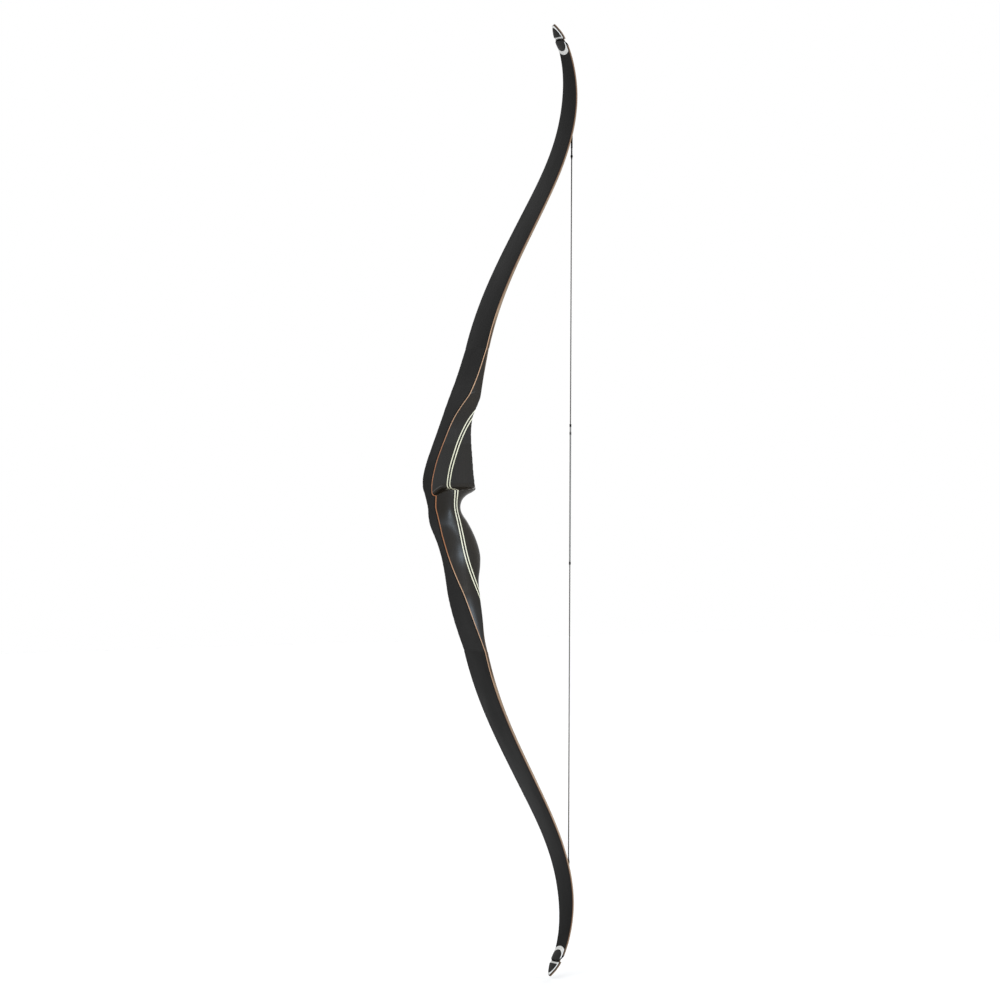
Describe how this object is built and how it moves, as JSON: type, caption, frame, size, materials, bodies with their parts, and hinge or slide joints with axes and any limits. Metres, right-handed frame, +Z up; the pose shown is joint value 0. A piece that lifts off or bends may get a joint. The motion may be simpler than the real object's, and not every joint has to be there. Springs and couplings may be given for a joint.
{
  "type": "recurve bow",
  "caption": "One-piece laminated recurve bow, strung, with a wood grip, sight window, tip overlays and a served string; drawing bends the limbs.",
  "frame": {"origin": "the grip's throat in depth, the middle of the bow in height and in width", "axes": "+Z runs up along the string, +X from the grip towards the string and the archer, -Y is the sight window's side"},
  "size_m": [0.2726, 0.051, 1.4638],
  "materials": {
    "riser_wood": "satin dark hardwood",
    "pale_accent": "satin ivory laminate",
    "dark_overlay": "satin black laminate",
    "dark_glass": "satin near-black glass-fibre facing",
    "back_core_wood": "satin orange-brown lamination",
    "core_wood": "satin tan lamination",
    "bare_string": "waxed twisted fibre",
    "served_string": "waxed served fibre"
  },
  "bodies": {
    "riser": {"riser_front_block": "riser_wood", "front_pale_stripe": "pale_accent", "dark_stripe": "riser_wood", "rear_pale_stripe": "pale_accent", "grip_block": "riser_wood", "riser_back_glass": "dark_glass", "riser_back_core": "back_core_wood", "upper_ramp_core": "core_wood", "upper_ramp_glass": "dark_glass", "lower_ramp_core": "core_wood", "lower_ramp_glass": "dark_glass"},
    "upper_limb_inner": {"upper_inner_back_glass": "dark_glass", "upper_inner_back_core": "back_core_wood", "upper_inner_belly_core": "core_wood", "upper_inner_belly_glass": "dark_glass"},
    "upper_limb_outer": {"upper_outer_back_glass": "dark_glass", "upper_outer_back_core": "back_core_wood", "upper_outer_belly_core": "core_wood", "upper_outer_belly_glass": "dark_glass", "upper_pale_overlay": "pale_accent", "upper_dark_overlay": "dark_overlay"},
    "upper_loop": {"upper_string_loop": "served_string"},
    "upper_contact": {"upper_string_contact": "served_string"},
    "upper_half_string": {"upper_string_splice": "served_string", "upper_splice_tag": "served_string", "upper_string": "bare_string", "upper_serving": "served_string"},
    "lower_limb_inner": {"lower_inner_back_glass": "dark_glass", "lower_inner_back_core": "back_core_wood", "lower_inner_belly_core": "core_wood", "lower_inner_belly_glass": "dark_glass"},
    "lower_limb_outer": {"lower_outer_back_glass": "dark_glass", "lower_outer_back_core": "back_core_wood", "lower_outer_belly_core": "core_wood", "lower_outer_belly_glass": "dark_glass", "lower_pale_overlay": "pale_accent", "lower_dark_overlay": "dark_overlay"},
    "lower_loop": {"lower_string_loop": "served_string"},
    "lower_contact": {"lower_string_contact": "served_string"},
    "lower_half_string": {"lower_string_splice": "served_string", "lower_splice_tag": "served_string", "lower_string": "bare_string", "lower_serving": "served_string"}
  },
  "joints": [
    {"name": "upper_limb_root", "type": "hinge", "parent": "riser", "child": "upper_limb_inner", "pos_m": [0.03762, 0, 0.22815], "axis": [0, 1, 0], "range_deg": [0, 10.29], "stiffness_Nm_per_rad": 600, "springref_deg": -8.59},
    {"name": "upper_limb_bend", "type": "hinge", "parent": "upper_limb_inner", "child": "upper_limb_outer", "pos_m": [0.12466, 0, 0.41015], "axis": [0, 1, 0], "range_deg": [0, 14.42]},
    {"name": "upper_string_turn", "type": "hinge", "parent": "upper_limb_outer", "child": "upper_half_string", "pos_m": [0.20965, 0, 0.68448], "axis": [0, 1, 0], "range_deg": [-51.98, 0]},
    {"name": "upper_loop_turn", "type": "hinge", "parent": "upper_limb_outer", "child": "upper_loop", "pos_m": [0.18951, 0, 0.70859], "axis": [0, 1, 0], "range_deg": [-19.06, 0]},
    {"name": "upper_contact_turn", "type": "hinge", "parent": "upper_half_string", "child": "upper_contact", "pos_m": [0.21623, 0, 0.63062], "axis": [0, 1, 0], "range_deg": [0, 6.89]},
    {"name": "lower_limb_root", "type": "hinge", "parent": "riser", "child": "lower_limb_inner", "pos_m": [0.03762, 0, -0.22815], "axis": [0, 1, 0], "range_deg": [-10.29, 0]},
    {"name": "lower_limb_bend", "type": "hinge", "parent": "lower_limb_inner", "child": "lower_limb_outer", "pos_m": [0.12466, 0, -0.41015], "axis": [0, 1, 0], "range_deg": [-14.42, 0]},
    {"name": "lower_string_turn", "type": "hinge", "parent": "lower_limb_outer", "child": "lower_half_string", "pos_m": [0.20965, 0, -0.68448], "axis": [0, 1, 0], "range_deg": [0, 51.98]},
    {"name": "lower_loop_turn", "type": "hinge", "parent": "lower_limb_outer", "child": "lower_loop", "pos_m": [0.18951, 0, -0.70859], "axis": [0, 1, 0], "range_deg": [0, 19.06]},
    {"name": "lower_contact_turn", "type": "hinge", "parent": "lower_half_string", "child": "lower_contact", "pos_m": [0.21623, 0, -0.63062], "axis": [0, 1, 0], "range_deg": [-6.89, 0]}
  ],
  "couplings": [
    {"joint": "upper_limb_bend", "follows": "upper_limb_root", "ratio": 1.4},
    {"joint": "upper_string_turn", "follows": "upper_limb_root", "ratio": -5.0501},
    {"joint": "upper_loop_turn", "follows": "upper_limb_root", "ratio": -1.8518},
    {"joint": "upper_contact_turn", "follows": "upper_limb_root", "ratio": 0.66823},
    {"joint": "lower_limb_root", "follows": "upper_limb_root", "ratio": -1},
    {"joint": "lower_limb_bend", "follows": "upper_limb_root", "ratio": -1.4},
    {"joint": "lower_string_turn", "follows": "upper_limb_root", "ratio": 5.0501},
    {"joint": "lower_loop_turn", "follows": "upper_limb_root", "ratio": 1.8518},
    {"joint": "lower_contact_turn", "follows": "upper_limb_root", "ratio": -0.66823}
  ]
}
